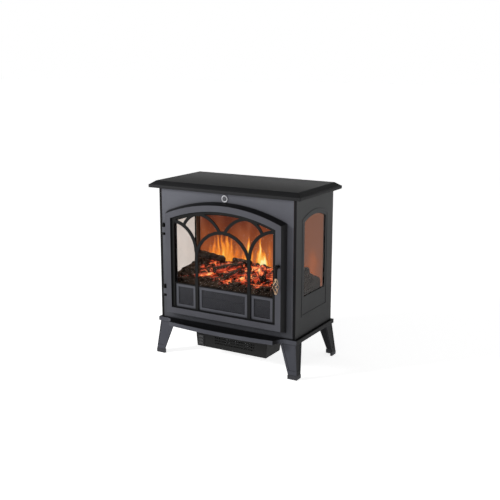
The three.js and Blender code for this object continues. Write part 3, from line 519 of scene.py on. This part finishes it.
def cap(bm, ring, centre, warm, grain):
    """Closes a tube end with a middle point, half as warm as the rim."""
    middle = bm.verts.new(centre)
    if warm:
        middle[warm] = sum(v[warm] for v in ring) / len(ring) * 0.5
    if grain:
        middle[grain] = ring[0][grain]
    for j, vert in enumerate(ring):
        bm.faces.new((vert, ring[(j + 1) % len(ring)], middle))


def lathe(bm, centre, axis, profile, sides=32):
    """Adds a turned shape from (distance along the axis, radius) pairs that start and end on the axis."""
    ahead = Vector(axis).normalized()
    across = ahead.orthogonal().normalized()
    up = ahead.cross(across)
    rings = []
    for along, radius in profile:
        base = Vector(centre) + ahead * along
        if radius <= 0:
            rings.append([bm.verts.new(base)])
            continue
        angles = [math.tau * j / sides for j in range(sides)]
        spokes = [across * math.cos(angle) + up * math.sin(angle) for angle in angles]
        rings.append([bm.verts.new(base + spoke * radius) for spoke in spokes])
    for a, b in zip(rings, rings[1:]):
        for j in range(sides):
            k = (j + 1) % sides
            corners = [a[j % len(a)], a[k % len(a)], b[k % len(b)], b[j % len(b)]]
            bm.faces.new(list(dict.fromkeys(corners)))


def wobble(place, seed, scale):
    """Smooth noise round zero, a different field for each seed."""
    return noise.noise(Vector(place) * scale + Vector((seed * 3.1, seed * 1.7, seed * 2.3)))


def smooth_step(low, high, value):
    """0 at low, 1 at high, with an even ease between. Low may be the larger of the two."""
    t = max(0.0, min(1.0, (value - low) / (high - low)))
    return t * t * (3 - 2 * t)


# ---------------------------------------------------------------- fire


LOGS = {
    # name: start, end and radius in millimetres, how much of it glows
    "log_1": ((-232, 61, 339), (-100, 33, 335), 14, 0.12),
    "log_2": ((-94, -49, 313), (-14, 21, 330), 13, 0.45),
    "log_3": ((-78, 63, 332), (4, 53, 331), 10, 0.15),
    "log_4": ((-34, -75, 300), (12, -27, 320), 12, 0.20),
    "log_5": ((112, -57, 310), (70, 25, 332), 13, 0.42),
    "log_6": ((146, -13, 323), (236, 51, 332), 14, 0.10),
}
LOG_STEPS = 44
LOG_SIDES = 36


def bark(start, end, radius, seed, steps, glowing):
    """Centre line, radius and heat of a charred length of split wood."""
    line = []
    for i in range(steps + 1):
        t = i / steps
        sag = Vector((wobble((t, 0, 0), seed, 2.4), wobble((0, t, 0), seed + 9, 2.4), 0.0)) * radius * 0.35
        line.append(start.lerp(end, t) + sag * math.sin(math.pi * t))

    def size(t, angle):
        ridges = abs(wobble((math.cos(angle), math.sin(angle), t * 1.6), seed, 2.6))
        lumps = wobble((math.cos(angle) * 0.6, math.sin(angle) * 0.6, t * 5), seed + 4, 1.6)
        flat = -0.16 * smooth_step(0.55, 1.0, math.cos(angle - seed * 2.4))
        taper = 1 - 0.28 * (smooth_step(0.05, 0.0, t) + smooth_step(0.95, 1.0, t))
        return radius * (0.97 + 0.16 * lumps - 0.20 * ridges + flat) * taper

    def heat(t, angle, place):
        patch = wobble(place, seed + 2, 34.0)
        under = smooth_step(0.2, -1.0, math.sin(angle))
        ends = smooth_step(0.10, 0.0, t) + smooth_step(0.90, 1.0, t)
        return glowing + 0.45 * patch + 0.22 * under - 0.35 * ends + 0.3 * (lit(place) - 1.0)

    return line, size, heat


def logs():
    """Six charred lengths over the CAD's plain ones."""
    for number, (name, (start, end, radius, glowing)) in enumerate(LOGS.items()):
        bm = grown()
        ends = (Vector(start) * MM, Vector(end) * MM)
        line, size, heat = bark(*ends, radius * MM, number + 1, LOG_STEPS, glowing)
        sweep(bm, line, LOG_SIDES, size, heat)
        piece(f"charred_{name}", bm, "cabinet", "log_resin", (name,))


BED_LIP = 10
BED_RISE = 52
BED_CURVE = 0.55


def mound(x, y, low, high):
    """Height of the ember bed above its base at a point: a lip in front, rising in a curve to the back."""
    u = (x - low.x) / (high.x - low.x)
    v = (y - low.y) / (high.y - low.y)
    rim = min(1, 5 * min(v + 0.12, 1.12 - v)) * min(1, 0.8 + 2.4 * min(u, 1 - u))
    return (BED_LIP + BED_RISE * max(v, 0.0) ** BED_CURVE) * MM * max(rim, 0.0)


BED_COLUMNS = 200
BED_ROWS = 84
LUMP_SCALE = 46
LUMP_HEIGHT = 0.0075
STICKS = 34
STICK_STEPS = 16
STICK_SIDES = 14
COALS = 230
COAL_WARMTH = (-0.3, -0.1, 0.0, 0.25, 0.45)


def lit(place):
    """How strongly the lamps under the bed reach a place: least at the ends and along the front edge."""
    ends = smooth_step(-0.185, -0.150, place.x) * (1 - 0.25 * smooth_step(0.05, 0.11, place.x))
    front = smooth_step(-0.100, -0.066, place.y)
    return 1.72 * ends * smooth_step(0.235, 0.185, place.x) * front - 0.6


def ember_surface(bm, low, high):
    """The moulded bed: a fine lumpy skin over the mound, closed by walls and a floor."""
    warm = bm.verts.layers.float.get("warmth")
    grain = bm.verts.layers.float_vector.get("grain")
    rows = []
    for j in range(BED_ROWS + 1):
        row = []
        for i in range(BED_COLUMNS + 1):
            x = low.x + (high.x - low.x) * i / BED_COLUMNS
            y = low.y + (high.y - low.y) * j / BED_ROWS
            distance, _ = noise.voronoi(Vector((x * LUMP_SCALE, y * LUMP_SCALE, 0.4)))
            lump = distance[1] - distance[0]
            z = low.z + mound(x, y, low, high) * 0.93 + LUMP_HEIGHT * (min(lump, 0.6) - 0.45)
            vert = bm.verts.new((x, y, max(z, low.z + 0.001)))
            patch = wobble(vert.co, 5, 17.0)
            vert[warm] = 0.30 * lit(vert.co) + 0.55 * patch + 0.26 * smooth_step(0.30, 0.0, lump)
            vert[grain] = vert.co
            row.append(vert)
        rows.append(row)
    for a, b in zip(rows, rows[1:]):
        for i in range(BED_COLUMNS):
            bm.faces.new((a[i], a[i + 1], b[i + 1], b[i]))
    rim = rows[0] + [r[-1] for r in rows[1:]] + rows[-1][-2::-1] + [r[0] for r in rows[-2:0:-1]]
    under = [bm.verts.new((v.co.x, v.co.y, low.z)) for v in rim]
    for k, vert in enumerate(rim):
        after = (k + 1) % len(rim)
        bm.faces.new((vert, rim[after], under[after], under[k]))
    bm.faces.new(under)


def coal(bm, place, size, chance, heat):
    """A broken lump of char: an icosphere pushed about and squashed."""
    warm = bm.verts.layers.float.get("warmth")
    grain = bm.verts.layers.float_vector.get("grain")
    made = bmesh.ops.create_icosphere(bm, subdivisions=2, radius=1.0)["verts"]
    seed = chance.random() * 50
    stretch = Vector((chance.uniform(0.7, 1.5), chance.uniform(0.7, 1.2), chance.uniform(0.5, 0.9)))
    heading = Matrix.Rotation(chance.random() * math.tau, 3, "Z")
    turn = heading @ Matrix.Rotation(chance.uniform(-0.5, 0.5), 3, "X")
    for vert in made:
        facet = 1 + 0.34 * wobble(vert.co, seed, 1.5)
        local = Vector(a * b for a, b in zip(vert.co * facet, stretch))
        under = smooth_step(0.5, -0.8, vert.co.z)
        vert.co = place + turn @ local * size
        vert[warm] = heat + 0.30 * under + 0.3 * wobble(vert.co, seed, 60.0) + 0.35 * (lit(vert.co) - 1.0)
        vert[grain] = vert.co


def embers():
    """The bed with its loose coals and half-burnt sticks, one glowing moulding."""
    low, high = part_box("ember_bed")
    bm = grown()
    ember_surface(bm, low, high)
    chance = random.Random(11)
    for _ in range(COALS):
        x = chance.uniform(low.x + 0.012, high.x - 0.012)
        y = chance.uniform(low.y + 0.010, high.y - 0.014)
        size = chance.uniform(0.004, 0.0095)
        z = low.z + mound(x, y, low, high) * 0.95
        coal(bm, Vector((x, y, z)), size, chance, chance.choice(COAL_WARMTH))
    for number in range(STICKS):
        x = chance.uniform(low.x + 0.035, high.x - 0.035)
        y = chance.uniform(low.y + 0.035, high.y - 0.06)
        lean = chance.choice((-1, 1)) * chance.uniform(0.35, 1.15)
        reach = chance.uniform(0.018, 0.036)
        along = Vector((math.sin(lean), math.cos(lean), 0.0)) * reach
        start, end = Vector((x, y, 0)) - along, Vector((x, y, 0)) + along
        start.z = low.z + mound(start.x, start.y, low, high) + 0.002
        end.z = low.z + mound(end.x, end.y, low, high) + 0.004
        glowing = chance.uniform(0.20, 0.62)
        radius = chance.uniform(0.0045, 0.0075)
        line, size, heat = bark(start, end, radius, number + 20, STICK_STEPS, glowing)
        sweep(bm, line, STICK_SIDES, size, heat)
    piece("ember_heap", bm, "cabinet", "ember_resin", ("ember_bed",))


# ---------------------------------------------------------------- door furniture


FERRULE_LENGTH = 0.006
FERRULE = [(0, 0), (0, 0.0032), (0.0008, 0.0044), (0.003, 0.0048), (0.0052, 0.0044),
           (FERRULE_LENGTH, 0.0032), (FERRULE_LENGTH, 0)]
GRIP_WIRE = 0.0014
WIRE_INSET = 0.004


def grip_wires():
    """Four wires that swell out between two ferrules."""
    low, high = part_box("coil_grip")
    middle = (low + high) / 2
    bm = bmesh.new()
    strands, turns, steps = 4, 0.6, 40
    top = high.z - WIRE_INSET
    length = high.z - low.z - 2 * WIRE_INSET
    for strand in range(strands):
        line = []
        for i in range(steps + 1):
            t = i / steps
            angle = (strand / strands + t * turns) * math.tau
            swell = 0.0022 + 0.0076 * math.sin(math.pi * t) ** 0.8
            x = middle.x + swell * math.cos(angle)
            y = middle.y + swell * math.sin(angle)
            line.append(Vector((x, y, top - length * t)))
        sweep(bm, line, 10, lambda t, angle: GRIP_WIRE)
    for z in (high.z - FERRULE_LENGTH, low.z):
        lathe(bm, (middle.x, middle.y, z), (0, 0, 1), FERRULE, 24)
    piece("grip_wires", bm, "handle", "grip_brass", ("coil_grip",))


HUB_RADIUS = 0.008
HUB = [(0, 0), (0, 0.0068), (0.0006, 0.0078), (0.002, HUB_RADIUS), (0.0052, HUB_RADIUS), (0.0066, 0.0071),
       (0.0076, 0.0048), (0.008, 0)]
LEVER_STEPS = 20


def handle_lever():
    """A domed hub with a tapering lever that hangs to the grip."""
    low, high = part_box("handle_arm")
    x = (low.x + high.x) / 2
    y = (low.y + high.y) / 2
    hub_z = high.z - HUB_RADIUS
    bm = bmesh.new()
    lathe(bm, (x, high.y, hub_z), (0, -1, 0), HUB)
    fall = hub_z - low.z
    line = [Vector((x, y, hub_z - fall * i / LEVER_STEPS)) for i in range(LEVER_STEPS + 1)]
    sweep(bm, line, 20, lambda t, angle: 0.0052 - 0.0012 * t + 0.0008 * smooth_step(0.88, 1.0, t))
    piece("handle_lever", bm, "handle", "black_iron", ("handle_arm",))


def crossing(step, number, wave):
    """How far a woven wire stands out at a half pitch: to each side in turn where it meets another."""
    if step % 2:
        return 0.0
    return wave if (step // 2 + number) % 2 else -wave


def grille_weave():
    """Woven wire behind the three openings under the glass."""
    low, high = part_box("grille_sheet")
    y = (low.y + high.y) / 2
    pitch, wire, wave = 0.0040, 0.00085, 0.0006
    columns = int((high.x - low.x) / pitch)
    rows = int((high.z - low.z) / pitch)
    x0 = (low.x + high.x - columns * pitch) / 2
    z0 = (low.z + high.z - rows * pitch) / 2
    bm = bmesh.new()
    for i in range(columns + 1):
        line = []
        for k in range(rows * 2 + 1):
            line.append(Vector((x0 + i * pitch, y + crossing(k, i, wave), z0 + k * pitch / 2)))
        sweep(bm, line, 5, lambda t, angle: wire)
    for j in range(rows + 1):
        line = []
        for k in range(columns * 2 + 1):
            line.append(Vector((x0 + k * pitch / 2, y - crossing(k, j, wave), z0 + j * pitch)))
        sweep(bm, line, 5, lambda t, angle: wire)
    piece("grille_weave", bm, "door", "black_iron", ("grille_sheet",), finish=GRILLE_PAINT)


def badge():
    """A plain round boss with a raised satin rim."""
    low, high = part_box("round_badge")
    centre = ((low.x + high.x) / 2, high.y, (low.z + high.z) / 2)
    rim = (high.x - low.x) / 2
    profile = [(0, 0), (0, rim), (0.0016, rim), (0.0026, rim - 0.0006), (0.0031, rim - 0.0018),
               (0.0026, rim - 0.0034), (0.0014, rim - 0.0042), (0.0012, rim - 0.0062), (0.0017, 0.003),
               (0.0018, 0)]
    bm = bmesh.new()
    lathe(bm, centre, (0, -1, 0), profile, 48)
    piece("badge_boss", bm, "cabinet", "badge_metal", ("round_badge",), finish=badge_finish(centre, rim))


def badge_finish(centre, rim):
    """Bright rim, grey satin middle."""
    coat = Finish("badge_two_tone")
    offset = coat.node("VectorMath", {0: coat.place, 1: centre}, operation="SUBTRACT").outputs[0]
    away = coat.node("VectorMath", {0: offset}, operation="LENGTH").outputs["Value"]
    ring = coat.span(away, rim - 0.0048, rim - 0.0042)
    marks = coat.noise(700.0, 2.0, (0.1, 1.0, 1.0))
    coat.set(Base_Color=coat.mix(ring, (0.045, 0.046, 0.052), (0.40, 0.40, 0.42)))
    coat.set(Roughness=coat.span(marks, 0.3, 0.7, 0.3, 0.5))
    coat.shader.inputs["Metallic"].default_value = 0.35
    coat.bump(marks, 0.1, 0.0002)
    return coat.material


# ---------------------------------------------------------------- case details


SLOT_HEIGHTS = (0.064, 0.074)
FINS = 16
FIN_PITCH = 0.010
FIRST_FIN = -0.060
FIN_SIZE = (0.0030, 0.0036, 0.0050)
FIN_DEPTH = 0.0042
FIN_TURN = 20


def outlet_fins():
    """Short upright fins across the warm-air slots of the heater housing."""
    low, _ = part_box("heater_housing")
    bm = bmesh.new()
    shape = Matrix.Rotation(math.radians(FIN_TURN), 4, "Z") @ Matrix.Diagonal((*FIN_SIZE, 1.0))
    for z in SLOT_HEIGHTS:
        for i in range(FINS):
            centre = Vector((FIRST_FIN + i * FIN_PITCH, low.y + FIN_DEPTH, z))
            bmesh.ops.create_cube(bm, size=1.0, matrix=Matrix.Translation(centre) @ shape)
    fins = piece("outlet_fins", bm, "cabinet", "housing_paint", smooth=False, finish=FIN_PAINT)
    soft = fins.modifiers.new("edge", "BEVEL")
    soft.width = 0.0002


SCREW = [(0, 0), (0, 0.0034), (0.0006, 0.0036), (0.0016, 0.0031), (0.0023, 0.0018), (0.0021, 0.0013),
         (0.0012, 0.0009), (0.0011, 0)]
SCREW_INSET = 0.011
CORNER_DROP = 0.03
EDGE_SCREW = 0.13


def back_screws():
    """Pan-head screws round the edge of the back panel."""
    low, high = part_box("back_panel")
    bm = bmesh.new()
    heights = (low.z + CORNER_DROP, (low.z + high.z) / 2, high.z - CORNER_DROP)
    places = [(x, z) for x in (low.x + SCREW_INSET, high.x - SCREW_INSET) for z in heights]
    places += [(x, z) for x in (-EDGE_SCREW, EDGE_SCREW) for z in (low.z + SCREW_INSET, high.z - SCREW_INSET)]
    for x, z in places:
        lathe(bm, (x, high.y - 0.0002, z), (0, 1, 0), SCREW, 20)
    piece("back_screws", bm, "cabinet", "steel")


def dust_filter():
    """A pleated strip that covers the lower vents from inside the back panel."""
    low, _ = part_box("back_panel")
    reach, bottom, top = 0.168, 0.180, 0.225
    folds, depth, thick, gap = 84, 0.003, 0.0006, 0.0012
    bm = bmesh.new()
    columns = []
    for i in range(folds + 1):
        x = -reach + 2 * reach * i / folds
        y = low.y - gap - depth * (i % 2)
        corners = ((y, bottom), (y, top), (y - thick, top), (y - thick, bottom))
        columns.append([bm.verts.new((x, *corner)) for corner in corners])
    for a, b in zip(columns, columns[1:]):
        for k in range(4):
            bm.faces.new((a[k], a[(k + 1) % 4], b[(k + 1) % 4], b[k]))
    bm.faces.new(columns[0])
    bm.faces.new(columns[-1])
    piece("dust_filter", bm, "cabinet", "black_plastic", smooth=False)


# ---------------------------------------------------------------- studio


PAPER = (0.90, 0.90, 0.90)
PAPER_LIGHT = (0.93, 0.93, 0.93)
PAPER_GLOW = 0.80
KEY_PLACE = (-1.65, -1.75, 1.20)
KEY_SIZE = 0.6
KEY_POWER = 42
# A small warm lamp inside the firebox stands in for the light that the flames throw back on the case.
FIRE_PLACE = (0.0, 0.02, 0.52)
FIRE_SIZE = 0.24
FIRE_POWER = 0.75
FIRE_COLOUR = (1.0, 0.80, 0.66)


def paper_floor():
    """A wide paper floor with a glow of its own, so that it renders white."""
    bpy.ops.mesh.primitive_plane_add(size=60)
    floor = bpy.context.object
    floor.name = "studio_floor"
    paper = Finish("studio_paper")
    paper.set(Base_Color=paper.ramp(paper.noise(0.6, 1.0), [(0.3, PAPER), (0.7, PAPER_LIGHT)]))
    paper.set(Emission_Color=(1.0, 1.0, 1.0, 1.0), Emission_Strength=PAPER_GLOW)
    paper.shader.inputs["Roughness"].default_value = 0.9
    paper.shader.inputs["Specular IOR Level"].default_value = 0.0
    floor.data.materials.append(paper.material)


def studio():
    """White floor, white tent, one softbox from the front left and a warm lamp inside the firebox."""
    paper_floor()
    for other in [o for o in bpy.data.objects if o.type in ("LIGHT", "CAMERA") or o.name == "Cube"]:
        bpy.data.objects.remove(other)
    world = bpy.data.worlds.new("studio")
    world.use_nodes = True
    light_tent(world.node_tree)
    bpy.context.scene.world = world
    bpy.context.scene.view_settings.view_transform = "Standard"
    key = softbox("key", KEY_PLACE, KEY_SIZE, KEY_POWER)
    key.visible_transmission = False
    glow = softbox("fire_glow", FIRE_PLACE, FIRE_SIZE, FIRE_POWER)
    glow.data.color = FIRE_COLOUR
    glow.visible_camera = False
    glow.visible_transmission = False


# The tent falls from the wall's strength to the ceiling's between two heights of the view direction.
WALL_TOP, CEILING = 0.12, 0.62
WALL_STRENGTH, CEILING_STRENGTH = 1.0, 0.10


def light_tent(tree):
    """White walls all round that fall off to a dark ceiling."""
    place = tree.nodes.new("ShaderNodeTexCoord").outputs["Generated"]
    height = tree.nodes.new("ShaderNodeSeparateXYZ")
    tree.links.new(place, height.inputs[0])
    fall = tree.nodes.new("ShaderNodeMapRange")
    fall.interpolation_type = "SMOOTHSTEP"
    tree.links.new(height.outputs[2], fall.inputs["Value"])
    for index, value in enumerate((WALL_TOP, CEILING, WALL_STRENGTH, CEILING_STRENGTH), start=1):
        fall.inputs[index].default_value = value
    back = tree.nodes["Background"]
    back.inputs["Color"].default_value = (1.0, 1.0, 1.0, 1.0)
    tree.links.new(fall.outputs[0], back.inputs["Strength"])


LAMP_AIM = Vector((0.0, 0.0, 0.35))


def softbox(name, place, size, power):
    """A square lamp that looks at the middle of the stove."""
    data = bpy.data.lights.new(name, "AREA")
    data.size = size
    data.energy = power
    light = bpy.data.objects.new(name, data)
    light.location = place
    aim = LAMP_AIM - Vector(place)
    light.rotation_euler = aim.to_track_quat("-Z", "Y").to_euler()
    bpy.context.scene.collection.objects.link(light)
    return light


LENS = 61.0
LENS_SHIFT = 0.0008
CAMERA_PLACE = (1.4962, -2.5045, 1.0544)
CAMERA_AIM = Vector((-0.49315, 0.84101, -0.22250))


def camera():
    """The photo's viewpoint, found by a fit to the corners of the stove."""
    data = bpy.data.cameras.new("camera")
    data.sensor_width = 36.0
    data.lens = LENS
    data.shift_x = LENS_SHIFT
    made = bpy.data.objects.new("camera", data)
    made.location = CAMERA_PLACE
    made.rotation_euler = CAMERA_AIM.to_track_quat("-Z", "Y").to_euler()
    bpy.context.scene.collection.objects.link(made)
    bpy.context.scene.camera = made


studio()
camera()
dress_cad_nodes()
logs()
embers()
grip_wires()
handle_lever()
grille_weave()
badge()
outlet_fins()
back_screws()
dust_filter()
